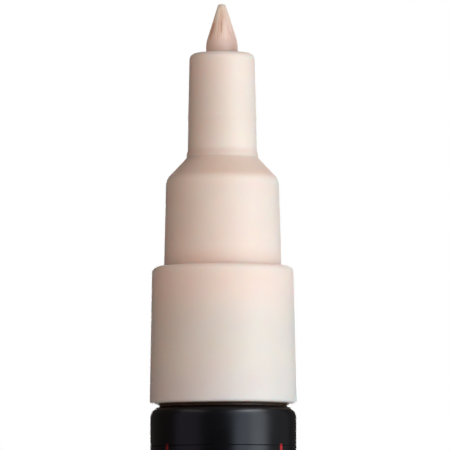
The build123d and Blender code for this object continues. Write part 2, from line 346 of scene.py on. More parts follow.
@dataclass(frozen=True, kw_only=True)
class BondedFibre(Finish):
    """Bonded acrylic fibre of the nib, ground to a cone and soaked with paint.

    Fibres run along it, so it has no shine and is streaked where the grinding opened them, most of all
    near the tip. The splits between bundles are painted darker, partly for the paint soaked into them and
    partly as painted shade in the furrows, and dry bundles stay pale. Broad darker bands on the cone's lit
    right are painted shade, and broad pale bundles on its shaded left are painted light. Lower down the
    bond is whole, and the paint evens it out.

    Attributes:
        dry_and_painted_light_colour: Colour of the dry fibre between soaked ones, sRGB hex.
        split_colour: Colour in the splits, sRGB hex.
        foot_colour: Colour of the even part below, sRGB hex.
        tip_colour: Colour of the worn tip, sRGB hex.
        tip_length: How far down from the tip that colour goes.
        ground_length: How far down from the tip the streaks start and end to fade.
        fibres: Bundles of fibre, drawn coarser than the real 0.03 so that they show.
        soaked: Mesh attribute that is 1 in a split and -1 on a dry bundle, which also carries the painted
        shade and painted light of the broad bands.
    """

    name: str = "acrylic_fibre_bonded_ground"
    colour: str = "DAB8A4"
    roughness: tuple[float, float] = (0.62, 0.85)
    ior: float = 1.45
    relief: float = 0.012
    depth: tuple[float, float, float] | None = (2.6, 1.9, 1.4)
    dry_and_painted_light_colour: str = "F7E4D8"
    split_colour: str = "A87F69"
    foot_colour: str = "E5CFC3"
    tip_colour: str = "EACDB8"
    tip_length: float = 1.1
    ground_length: tuple[float, float] = (2.0, 3.3)
    fibres: Grain = Grain(0.22, Run.ALONG, 3.0)
    soaked: str = "soaked"

    def paint(self, tree: Tree) -> tuple[Socket, Socket, Socket]:
        """Draws the streaks, which run along the cone, the splits, the even foot and the worn tip.

        Args:
            tree: The material's nodes.

        Returns:
            The colour, and the streaks for both shine and relief.
        """
        radius, _, tip = reach("nib")
        place = add_node(tree, "ShaderNodeTexCoord").outputs["Object"]
        height = add_node(tree, "ShaderNodeSeparateXYZ", {0: place}).outputs["Z"]
        rise = add_node(tree, "ShaderNodeVectorMath", {0: place, 1: (0, 0, 1)}, operation="MULTIPLY")
        aside = add_node(tree, "ShaderNodeVectorMath", {0: place, 1: (1, 1, 0)}, operation="MULTIPLY")
        out = add_node(tree, "ShaderNodeVectorMath", {0: aside.outputs[0]}, operation="NORMALIZE")
        sides = {0: out.outputs[0], 1: (radius * MM,) * 3, 2: rise.outputs[0]}
        along = add_node(tree, "ShaderNodeVectorMath", sides, operation="MULTIPLY_ADD")
        streaks = self.fibres.value(tree, along.outputs[0])
        soaked = add_node(tree, "ShaderNodeAttribute", attribute_name=self.soaked).outputs["Fac"]
        fade_start, fade_end = [(tip - length) * MM for length in self.ground_length]
        colour: Socket | Colour = linear(self.colour)
        for value, start, end, tone in (
            (streaks, GRAIN_LOW, GRAIN_HIGH, self.dry_and_painted_light_colour),
            (height, fade_start, fade_end, self.foot_colour),
            (height, (tip - self.tip_length) * MM, tip * MM, self.tip_colour),
            (soaked, 0.0, 1.0, self.split_colour),
            (soaked, 0.0, -1.0, self.dry_and_painted_light_colour),
        ):
            ends = {"Value": value, "From Min": start, "From Max": end}
            share = add_node(tree, "ShaderNodeMapRange", ends)
            tones = {MIX_SHARE: share.outputs[0], MIX_FIRST: colour, MIX_SECOND: linear(tone)}
            colour = add_node(tree, "ShaderNodeMix", tones, data_type="RGBA").outputs[MIXED]
        return colour, streaks, streaks


@dataclass(frozen=True, kw_only=True)
class TwoTone(Finish):
    """Finish whose colour wanders between two tones.

    Attributes:
        second_colour: The other tone, sRGB hex.
        share: How far the colour goes towards it.
        spots: Grain of the tones and of the shine.
        lines: Grain of the relief, where that isn't the one of the tones.
    """

    second_colour: str
    share: float = 1.0
    spots: Grain
    lines: Grain | None = None

    def paint(self, tree: Tree) -> tuple[Socket, Socket, Socket]:
        """Draws the two tones and the relief.

        Args:
            tree: The material's nodes.

        Returns:
            The colour, the spots for the shine, and the lines or spots for the relief.
        """
        spots = self.spots.value(tree)
        ends = {"Value": spots, **GRAIN_ENDS, "To Max": self.share}
        share = add_node(tree, "ShaderNodeMapRange", ends).outputs[0]
        tones = {MIX_SHARE: share, MIX_FIRST: linear(self.colour), MIX_SECOND: linear(self.second_colour)}
        toned = add_node(tree, "ShaderNodeMix", tones, data_type="RGBA")
        return toned.outputs[MIXED], spots, self.lines.value(tree) if self.lines else spots


@dataclass(frozen=True, kw_only=True)
class MouldedPolymer(TwoTone):
    """Moulded opaque polymer.

    The tool's polish gives a broad soft highlight, broken by faint clouds in the melt and by hairlines from
    handling, which are drawn coarser than the real 0.02 so that they show.
    """

    name: str = "polypropylene_black_satin_moulded"
    colour: str = "030306"
    roughness: tuple[float, float] = (0.25, 0.33)
    ior: float = 1.49
    relief: float = 0.0004
    second_colour: str = "05050A"
    spots: Grain = Grain(4.0, detail=3.0)
    lines: Grain | None = Grain(0.10, Run.ALONG)


@dataclass(frozen=True, kw_only=True)
class ScreenInk(TwoTone):
    """Screen-printed ink on the barrel.

    The screen's mesh leaves a fine weave in its thickness, so its shine is a little broken. The weave is
    drawn coarser than the real 0.06 so that it shows.
    """

    name: str = "ink_red_screen_printed"
    colour: str = "B81C1E"
    roughness: tuple[float, float] = (0.38, 0.5)
    ior: float = 1.5
    relief: float = 0.002
    second_colour: str = "981416"
    share: float = 0.8
    spots: Grain = Grain(0.15)


@dataclass(frozen=True, kw_only=True)
class StainlessSteel(TwoTone):
    """Stainless steel, drawn into wire or polished into a ball.

    Wire keeps fine marks from the die, drawn coarser than the real 0.01 so that they show, and a ball has
    only a faint unevenness in its shine. The IOR is the shader's default.
    """

    name: str = "stainless_steel_drawn"
    colour: str = "C6C7C8"
    roughness: tuple[float, float] = (0.2, 0.34)
    ior: float = 1.5
    relief: float = 0.001
    metallic: float = 1.0
    second_colour: str = "A9AAAD"
    spots: Grain = Grain(0.06)


@cache
def material_of(finish: Finish) -> bpy.types.Material:
    """The one material of a finish, made when it is first asked for."""
    return finish.material()


HOLDER_PLASTIC = TranslucentPolypropylene()
NIB_FIBRE = BondedFibre()
BARREL_PLASTIC = MouldedPolymer()
PRINT_RED = ScreenInk()
SPRING_WIRE = StainlessSteel()

# A lacquer laid on in one thick coat levels out, so it is as smooth as the plastic under it
PRINT_GROUND = MouldedPolymer(name="lacquer_black_screen_printed", roughness=(0.24, 0.32), relief=0.0006)

# A thin matt ink, which reads as a dull line round the lacquer
PRINT_EDGE = ScreenInk(
    name="ink_black_matt_screen_printed", colour="020203", second_colour="040406", roughness=(0.5, 0.6)
)

# Pale pigment lets some light in, which softens the shade on the cap's round sides
CAP_PLASTIC = MouldedPolymer(
    name="polypropylene_beige_satin_moulded",
    colour="E6CDBB",
    second_colour="EBD6C6",
    roughness=(0.36, 0.46),
    depth=(0.5, 0.3, 0.2),
)

# Unpigmented acetal is milky and has a waxy shine
VALVE_PLASTIC = MouldedPolymer(
    name="acetal_natural_moulded",
    colour="E4E1D8",
    second_colour="EDEBE4",
    roughness=(0.32, 0.42),
    spots=Grain(2.0, detail=3.0),
    depth=(0.4, 0.35, 0.3),
)

# Soft black rubber has a dusty bloom and hardly any highlight
SEAL_RUBBER = MouldedPolymer(
    name="nitrile_rubber_moulded",
    colour="1B1B1B",
    second_colour="262625",
    roughness=(0.6, 0.78),
    spots=Grain(0.6, detail=3.0),
    relief=0.002,
)

# A polished ball mirrors its surroundings with a few soft spots
BALL_STEEL = StainlessSteel(
    name="stainless_steel_polished", roughness=(0.08, 0.15), spots=Grain(0.8), relief=0.0002
)

# Matt emulsion paint on the studio's board, nearly even
FLOOR_BOARD = TwoTone(
    name="board_pale_painted",
    colour="EDECE9",
    second_colour="F0EFEC",
    roughness=(0.8, 0.9),
    ior=1.49,
    relief=0.0004,
    spots=Grain(40.0, detail=3.0),
    lines=Grain(2.0, Run.ALONG),
)


# Mesh tools


@dataclass(frozen=True)
class Corner:
    """Corner of a turned outline.

    Attributes:
        r: Radius.
        z: Height.
        round: Radius of the round on it, or 0 for a sharp corner.
    """

    r: float
    z: float
    round: float = 0.0


def rounded(corners: Sequence[Corner], steps: int = 6) -> list[Point]:
    """Follows a closed outline with its corners rounded.

    Args:
        corners: The outline's corners in order.
        steps: Straight steps in each round.

    Returns:
        Points of radius and height.
    """
    points: list[Point] = []
    for at, corner in enumerate(corners):
        here = Vector((corner.r, corner.z))
        if not corner.round:
            points.append(tuple(here))
            continue
        before, after = corners[at - 1], corners[(at + 1) % len(corners)]
        back = (Vector((before.r, before.z)) - here).normalized()
        on = (Vector((after.r, after.z)) - here).normalized()
        half = back.angle(on) / 2
        centre = here + (back + on).normalized() * (corner.round / sin(half))
        start = here + back * (corner.round / tan(half)) - centre
        sweep = start.angle_signed(here + on * (corner.round / tan(half)) - centre)
        for step in range(steps + 1):
            turned = Matrix.Rotation(-sweep * step / steps, 2) @ start
            points.append(tuple(centre + turned))
    return points


def held(outline: Sequence[Point], margin: float = 0.10, long_run: float = 0.40) -> list[Point]:
    """Adds rows beside the ends of long straight runs, so that smooth shading stays flat between them.

    Args:
        outline: Points of a closed outline in order.
        margin: Distance of the rows from the ends.
        long_run: Length that a run has to pass to get them.

    Returns:
        The outline with the added points.
    """
    points: list[Point] = []
    for (r, z), (next_r, next_z) in zip(outline, [*outline[1:], outline[0]]):
        points.append((r, z))
        along = Vector((next_r - r, next_z - z))
        if along.length > long_run:
            step = along.normalized() * margin
            points += [(r + step.x, z + step.y), (next_r - step.x, next_z - step.y)]
    return points


def even_columns(count: int) -> list[float]:
    """Angles of evenly spaced columns round the axis."""
    return [2 * pi * at / count for at in range(count)]


def bead(radius: float, height: float, size: float, upward: bool = False, steps: int = 8) -> list[Corner]:
    """Half-round bead on a turned wall.

    Args:
        radius: Radius of the wall.
        height: Height of the bead's middle.
        size: Radius of the bead.
        upward: Whether the outline runs up the wall there.
        steps: Straight steps in the bead.

    Returns:
        The bead's corners in the outline's order.
    """
    turns = [pi * step / steps for step in range(steps + 1)]
    corners = [Corner(radius + size * sin(turn), height + size * cos(turn)) for turn in turns]
    return corners[::-1] if upward else corners


def add_object(name: str, data: bpy.types.ID) -> bpy.types.Object:
    """Makes an object in the scene.

    Args:
        name: The object's name.
        data: Its mesh, lamp or camera.

    Returns:
        The object.
    """
    made = bpy.data.objects.new(name, data)
    bpy.context.scene.collection.objects.link(made)
    return made


def stitch(shape: bmesh.types.BMesh, rings: Sequence[Sequence[bmesh.types.BMVert]]) -> None:
    """Joins each ring of vertices to the next one with faces.

    Args:
        shape: Shape that the rings are in.
        rings: Rings of equal length. One that holds a single vertex over and over is a pole.
    """
    for ring, following in zip(rings, rings[1:]):
        for at in range(len(ring)):
            beside = (at + 1) % len(ring)
            corners = dict.fromkeys((ring[at], ring[beside], following[beside], following[at]))
            if len(corners) > 2:
                shape.faces.new(list(corners))


def mesh_from(shape: bmesh.types.BMesh, name: str) -> bpy.types.Mesh:
    """Turns a finished shape into a mesh with outward faces, smooth but for its sharp edges.

    Args:
        shape: The shape, which is freed.
        name: The mesh's name.

    Returns:
        The mesh.
    """
    bmesh.ops.recalc_face_normals(shape, faces=shape.faces)
    for face in shape.faces:
        face.smooth = True
    mesh = bpy.data.meshes.new(name)
    shape.to_mesh(mesh)
    shape.free()
    mesh.set_sharp_from_angle(angle=CREASE)
    return mesh


def turned_mesh(
    name: str,
    outline: Sequence[Point],
    columns: Sequence[float],
    relief: Callable[[float, float], float] | None = None,
) -> bpy.types.Mesh:
    """Turns a closed outline of radii and heights about Z.

    Args:
        name: The mesh's name.
        outline: Points in order. Points on the axis become poles.
        columns: Angles of the columns of vertices.
        relief: Gives what is added to the radius at an angle and height.

    Returns:
        A closed mesh.
    """
    shape = bmesh.new()
    rings = []
    for radius, height in held(outline):
        if radius <= 0:
            rings.append([shape.verts.new((0, 0, height * MM))] * len(columns))
            continue
        ring = []
        for angle in columns:
            out = (radius + (relief(angle, height) if relief else 0)) * MM
            ring.append(shape.verts.new((out * sin(angle), -out * cos(angle), height * MM)))
        rings.append(ring)
    stitch(shape, [*rings, rings[0]])
    return mesh_from(shape, name)


def fins_mesh(
    name: str, count: int, thickness: float, across: tuple[float, float], up: tuple[float, float]
) -> bpy.types.Mesh:
    """Makes flat radial fins, evenly spaced round the axis from +X.

    Args:
        name: The mesh's name.
        count: How many fins.
        thickness: Their thickness.
        across: Their inner and outer distance from the axis.
        up: Their lowest and highest height.

    Returns:
        A mesh of closed fins.
    """
    shape = bmesh.new()
    for fin in range(count):
        turned = Matrix.Rotation(2 * pi * fin / count, 4, "Z") @ Matrix.Scale(MM, 4)
        rows = [
            [shape.verts.new(turned @ Vector((r, side * thickness / 2, z))) for r in across for z in up]
            for side in (-1, 1)
        ]
        near, far = [[row[0], row[1], row[3], row[2]] for row in rows]
        shape.faces.new(near)
        shape.faces.new(far)
        for at in range(len(near)):
            shape.faces.new((near[at - 1], near[at], far[at], far[at - 1]))
    return mesh_from(shape, name)


def fused(name: str, *meshes: bpy.types.Mesh) -> bpy.types.Mesh:
    """Joins overlapping meshes into one closed mesh.

    Args:
        name: The joined mesh's name.
        *meshes: The meshes, of which the first is the main one.

    Returns:
        The joined mesh.
    """
    base, *others = [add_object(mesh.name, mesh) for mesh in meshes]
    for other in others:
        joint = base.modifiers.new(other.name, "BOOLEAN")
        joint.operation = "UNION"
        joint.solver = "EXACT"
        joint.object = other
    bpy.context.view_layer.update()
    joined = bpy.data.meshes.new_from_object(base.evaluated_get(bpy.context.evaluated_depsgraph_get()))
    joined.name = name
    joined.set_sharp_from_angle(angle=CREASE)
    for part in (base, *others):
        bpy.data.objects.remove(part)
    return joined


def place_piece(
    name: str, mesh: bpy.types.Mesh, body: Body, slot: Slot, finishes: Sequence[Finish], *nodes: str
) -> bpy.types.Object:
    """Makes an object of a mesh, dresses it and hangs it on its body.

    Args:
        name: The piece's name.
        mesh: Its mesh, in the frame's own coordinates.
        body: Body that it rides on.
        slot: Material slot of the record that it stands for; not used.
        finishes: Its finishes, in the order of the mesh's material numbers.
        *nodes: CAD nodes that it is shown in place of.

    Returns:
        The piece.
    """
    piece = add_object(name, mesh)
    for finish in finishes:
        mesh.materials.append(material_of(finish))
    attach(piece, body.value)
    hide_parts(*nodes)
    return piece


def dress_node(node: str, finish: Finish) -> bpy.types.Object:
    """Gives a CAD node that keeps its own shape its finish.

    Args:
        node: The node's name.
        finish: Its finish.

    Returns:
        The node's object.
    """
    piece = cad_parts[node]
    piece.data.materials.clear()
    piece.data.materials.append(material_of(finish))
    return piece


# The marker's sub-assemblies


class Assembly(ABC):
    """Sub-assembly of the marker."""

    @abstractmethod
    def build(self) -> list[bpy.types.Object]:
        """Makes the sub-assembly's pieces, dresses them and puts them in their place.

        Returns:
            The pieces.
        """


@dataclass(frozen=True)
class Split:
    """Place on the nib's cone where bundles of fibre part, or where one stands proud.

    Attributes:
        angle: Angle of its middle in degrees.
        start: How far below the tip it starts.
        end: How far below the tip it ends.
        width: Half its width in degrees.
        share: Depth as a share of the deepest split, or less than 0 for a proud, dry bundle.
    """

    angle: float
    start: float
    end: float
    width: float
    share: float

    def at(self, angle: float, drop: float) -> float:
        """Finds how deep the split is at a place.

        Args:
            angle: Angle of the place in degrees.
            drop: Its distance below the tip.

        Returns:
            The depth as a share of the deepest split.
        """
        if not self.start < drop < self.end:
            return 0.0
        aside = turn_between(self.angle, angle) / self.width
        fade = sin(pi * (drop - self.start) / (self.end - self.start)) ** 0.5
        return self.share * fade * exp(-(aside**2))


@dataclass
class Nib(Assembly):
    """Rod of bonded fibre, ground to a cone at its front.

    Attributes:
        tip_radius: Radius of the worn flat at the tip.
        tip_round: Round of that flat's edge.
        cone_angle: Half angle of the cone in degrees.
        foot_round: Round between cone and rod.
        tail_chamfer: Chamfer at the hidden end.
        ridges: Bundles of fibre round the rod.
        strands: Finer strands round the rod.
        ridge_depth: Depth of the deepest furrow between bundles.
        bundle_share: Half the share of that depth that the bundles give.
        strand_share: Half the share that the strands give.
        sway: How far the furrows swing in a slow and a quick wave along the rod, in radians of a bundle.
        sway_pace: Radians that those two waves go through in a millimetre.
        sway_turn: Radians that the quick wave goes through in a radian round the rod.
        strand_sway: How much more the strands swing, the other way.
        strand_shift: Radians of a strand that the strands are turned by.
        split_depth: Depth of the deepest split.
        splits: The splits and proud bundles on the cone, of which some broad ones are painted shade on the
        cone's lit right and painted light on its shaded left.
        bundle_columns: Columns of faces across a bundle.
        row: Height of a row of faces on the part that shows.
        hidden_row: Height of a row on the part inside the holder.
        shown_length: Length of the part that shows, with some to spare.
    """

    tip_radius: float = 0.28
    tip_round: float = 0.15
    cone_angle: float = 17.7
    foot_round: float = 2.3
    tail_chamfer: float = 0.25
    ridges: int = 44
    strands: int = 70
    ridge_depth: float = 0.022
    bundle_share: float = 0.32
    strand_share: float = 0.18
    sway: tuple[float, float] = (0.35, 0.2)
    sway_pace: tuple[float, float] = (1.9, 4.3)
    sway_turn: float = 2.0
    strand_sway: float = 2.2
    strand_shift: float = 1.0
    split_depth: float = 0.04
    splits: tuple[Split, ...] = (
        Split(-3, 1.3, 2.45, 4.2, 0.7),
        Split(-4, 0.3, 1.8, 13, 0.25),
        Split(14, 1.2, 2.9, 13, -0.6),
        Split(35, 1.5, 2.6, 5, 0.25),
        Split(-54, 1.0, 2.9, 7, 0.55),
        # Painted light: these two broad dry bundles lighten the shaded left of the cone and tip.
        Split(-27, 0.1, 2.7, 11, -0.5),
        Split(-47, 0.02, 1.5, 18, -0.9),
        # Painted shade: these two broad soaked bands darken the lit right side of the cone.
        Split(66, 1.2, 5.8, 32, 0.48),
        Split(40, 2.2, 5.4, 24, 0.24),
        Split(-10, 2.8, 5.6, 30, 0.10),
        Split(52, 0.05, 1.6, 30, 0.22),
        Split(97, 0.3, 3.0, 16, -0.7),
        Split(118, 1.2, 2.7, 10, -0.5),
        Split(152, 0.9, 2.1, 5, 0.5),
        Split(-108, 1.1, 2.5, 5, 0.6),
        Split(-135, 0.7, 2.3, 11, -0.5),
        Split(-166, 1.0, 2.6, 5, 0.6),
    )
    bundle_columns: int = 8
    row: float = 0.12
    hidden_row: float = 1.5
    shown_length: float = 6.0

    def soaked(self, angle: float, height: float) -> float:
        """How far a place is in a split, or on a proud bundle where it is less than 0."""
        drop = reach("nib")[2] - height
        return sum(split.at(degrees(angle), drop) for split in self.splits)

    def furrow(self, angle: float, height: float) -> float:
        """What furrows, splits and proud bundles add to the radius at a place.

        Args:
            angle: Angle round the axis.
            height: Height in the frame.

        Returns:
            The addition, which is above 0 on a proud bundle.
        """
        slow = self.sway[0] * sin(self.sway_pace[0] * height)
        quick = self.sway[1] * sin(self.sway_pace[1] * height + self.sway_turn * angle)
        bundle = cos(self.ridges * angle + slow + quick)
        strand = cos(self.strands * angle - self.strand_sway * (slow + quick) + self.strand_shift)
        groove = self.ridge_depth * (self.bundle_share * (1 - bundle) + self.strand_share * (1 - strand))
        depth = groove + self.split_depth * self.soaked(angle, height)
        return -depth * min(1.0, (reach("nib")[2] - height) / self.tip_radius)

    def build(self) -> list[bpy.types.Object]:
        """Turns the rod with its furrows and puts it in the nib's place.

        Returns:
            The rod.
        """
        radius, tail, tip = reach("nib")
        foot = tip - (radius - self.tip_radius) / tan(radians(self.cone_angle))
        outline = rounded(
            [
                Corner(0, tail),
                Corner(radius - self.tail_chamfer, tail),
                Corner(radius, tail + self.tail_chamfer),
                Corner(radius, tip - self.shown_length),
                Corner(radius, foot, self.foot_round),
                Corner(self.tip_radius, tip, self.tip_round),
                Corner(0, tip),
            ]
        )
        rows: list[Point] = []
        for (r, z), (next_r, next_z) in zip(outline, outline[1:]):
            row = self.hidden_row if z < tip - self.shown_length else self.row
            count = max(1, round((Vector((next_r, next_z)) - Vector((r, z))).length / row))
            rows += [(r + (next_r - r) * at / count, z + (next_z - z) * at / count) for at in range(count)]
        rows.append(outline[-1])
        mesh = turned_mesh("nib_rod", rows, even_columns(self.bundle_columns * self.ridges), self.furrow)
        places = [vert.co for vert in mesh.vertices]
        soaked = mesh.attributes.new(NIB_FIBRE.soaked, "FLOAT", "POINT")
        soaked.data.foreach_set("value", [self.soaked(atan2(at.x, -at.y), at.z / MM) for at in places])
        return [place_piece("nib_rod", mesh, Body.NIB, Slot.NIB, [NIB_FIBRE], "nib")]


@dataclass
class FrontHolder(Assembly):
    """One moulding: nose, root ring, cone, cap seat, collar, neck and the sleeve inside the barrel.

    Attributes:
        columns: Columns of faces round it.
        nib_gap: Gap round the nib in its guide.
        mouth_chamfer: Chamfer at the guide's mouth.
        guide_length: Length of the guide.
        nose_height: From the root ring to the nose's top.
        nose_top_radius: Radius of the nose at its top, before the round.
        nose_foot_radius: Radius of the nose where it meets the root ring.
        nose_round: Round of the nose's top edge.
        nose_bore_radius: Radius of the bore below the guide.
        witness_drop: From the nose's top to the line where the mould's two halves meet.
        witness_radius: Radius of the wall there.
        witness_ridge: How far the line stands out.
        witness_half: Half the line's height.
        root_radius: Radius of the root ring.
        root_height: Height of the root ring.
        root_slope: Height of the slope from the nose to the ring.
        root_round: Round of the slope's edges.
        root_foot_round: Round between ring and cone.
        cone_angle: Half angle of the cone in degrees.
        cone_foot_round: Round between cone and cap seat.
        cap_seat_top_radius: Radius of the cap seat at its top.
        cap_seat_foot_radius: Radius of the cap seat where it meets the collar.
        cap_seat_height: Height of the cap seat.
        collar_top_radius: Radius of the collar at its top, before the round.
        collar_height: Height of the collar.
        collar_top_round: Round of the collar's top edge.
        collar_foot_round: Round of the collar's lower edge.
        neck_radius: Radius of the neck, where it shows above the barrel.
        neck_bevel_width: Width of the bevel between collar and neck.
        neck_bevel_height: Height of that bevel.
        neck_lift: From the barrel's rim up to the neck's lower edge.
        sleeve_radius: Radius of the sleeve below the neck.
        bead_drop: From the barrel's rim to the bead that snaps into it.
        bead_radius: Radius of that bead.
        sleeve_lead_in: Height of the taper at the sleeve's foot.
        pocket_radius: Radius of the pocket that the valve sits in.
        shoulder_thickness: Thickness of the wall over that pocket.
        chamber_radius: Radius of the paint chamber above the valve.
        fins: Fins that guide the nib in the chamber.
        fin_thickness: Thickness of a fin.
        fin_drop: From the nib's tail to the fins' lower ends.
        fin_root: How far a fin goes into the wall.
        edge_round: Round of the small inner edges.
    """

    columns: int = 160
    nib_gap: float = 0.05
    mouth_chamfer: float = 0.12
    guide_length: float = 3.0
    nose_height: float = 7.76
    nose_top_radius: float = 2.572
    nose_foot_radius: float = 2.735
    nose_round: float = 0.55
    nose_bore_radius: float = 1.71
    witness_drop: float = 5.18
    witness_radius: float = 2.69
    witness_ridge: float = 0.027
    witness_half: float = 0.32
    root_radius: float = 2.83
    root_height: float = 0.567
    root_slope: float = 0.32
    root_round: float = 0.50
    root_foot_round: float = 0.22
    cone_angle: float = 43.7
    cone_foot_round: float = 1.20
    cap_seat_top_radius: float = 4.465
    cap_seat_foot_radius: float = 4.645
    cap_seat_height: float = 6.88
    collar_top_radius: float = 5.5866
    collar_height: float = 10.87
    collar_top_round: float = 0.52
    collar_foot_round: float = 0.25
    neck_radius: float = 5.06
    neck_bevel_width: float = 0.27
    neck_bevel_height: float = 0.13
    neck_lift: float = 0.06
    sleeve_radius: float = 4.97
    bead_drop: float = 4.0
    bead_radius: float = 0.16
    sleeve_lead_in: float = 0.40
    pocket_radius: float = 3.80
    shoulder_thickness: float = 2.0
    chamber_radius: float = 3.30
    fins: int = 4
    fin_thickness: float = 0.80
    fin_drop: float = 0.80
    fin_root: float = 0.10
    edge_round: float = 0.05

    @property
    def guide(self) -> float:
        """Radius of the nib's guide."""
        return reach("nib")[0] + self.nib_gap

    @property
    def cone_foot(self) -> float:
        """Height of the cone's lower edge."""
        cone = (self.cap_seat_top_radius - self.root_radius) / tan(radians(self.cone_angle))
        return reach("front_holder")[2] - self.nose_height - self.root_height - cone

    def outline(self) -> list[Point]:
        """The moulding's section, from the nose's mouth down the outside and up the inside.

        Returns:
            Points of radius and height.
        """
        collar_radius, sleeve_foot, nose_top = reach("front_holder")
        guide = self.guide
        root_top = nose_top - self.nose_height
        cone_top = root_top - self.root_height
        cone_foot = self.cone_foot
        shoulder = cone_foot - self.cap_seat_height
        collar_foot = shoulder - self.collar_height
        stop = shoulder - self.shoulder_thickness
        witness = nose_top - self.witness_drop
        roof = cone_foot + (self.chamber_radius - self.nose_bore_radius) / tan(radians(self.cone_angle))
        guide_foot = nose_top - self.guide_length
        rim = reach("barrel")[2]
        return rounded(
            [
                Corner(guide, nose_top - self.mouth_chamfer),
                Corner(guide + self.mouth_chamfer, nose_top),
                Corner(self.nose_top_radius, nose_top, self.nose_round),
                Corner(self.witness_radius, witness + self.witness_half),
                Corner(self.witness_radius + self.witness_ridge, witness),
                Corner(self.witness_radius, witness - self.witness_half),
                Corner(self.nose_foot_radius, root_top, self.root_round),
                Corner(self.root_radius, root_top - self.root_slope, self.root_round),
                Corner(self.root_radius, cone_top, self.root_foot_round),
                Corner(self.cap_seat_top_radius, cone_foot, self.cone_foot_round),
                Corner(self.cap_seat_foot_radius, shoulder, self.edge_round),
                Corner(self.collar_top_radius, shoulder, self.collar_top_round),
                Corner(collar_radius, collar_foot, self.collar_foot_round),
                Corner(self.neck_radius + self.neck_bevel_width, collar_foot),
                Corner(self.neck_radius, collar_foot - self.neck_bevel_height),
                Corner(self.neck_radius, rim + self.neck_lift),
                Corner(self.sleeve_radius, rim),
                *bead(self.sleeve_radius, rim - self.bead_drop, self.bead_radius),
                Corner(self.sleeve_radius, sleeve_foot + self.sleeve_lead_in),
                Corner(self.sleeve_radius - self.sleeve_lead_in / 2, sleeve_foot),
                Corner(self.pocket_radius, sleeve_foot),
                Corner(self.pocket_radius, stop),
                Corner(self.chamber_radius, stop),
                Corner(self.chamber_radius, cone_foot),
                Corner(self.nose_bore_radius, roof),
                Corner(self.nose_bore_radius, guide_foot),
                Corner(guide, guide_foot),
            ]
        )

    def build(self) -> list[bpy.types.Object]:
        """Turns the moulding, joins the fins to it and puts it in the holder's place.

        Returns:
            The moulding.
        """
        turned = turned_mesh("holder_turned", self.outline(), even_columns(self.columns))
        fins = fins_mesh(
            "holder_fins",
            self.fins,
            self.fin_thickness,
            (self.guide, self.chamber_radius + self.fin_root),
            (reach("nib")[1] + self.fin_drop, self.cone_foot),
        )
        mesh = fused("holder_moulding", turned, fins)
        finishes = [HOLDER_PLASTIC]
        return [place_piece("holder_moulding", mesh, Body.MARKER, Slot.HOLDER, finishes, "front_holder")]


class BarrelFace(IntEnum):
    """Finishes of the barrel's faces, as the numbers of its material slots."""

    PLASTIC = 0
    GROUND = 1
    STRIPE = 2
    EDGE = 3


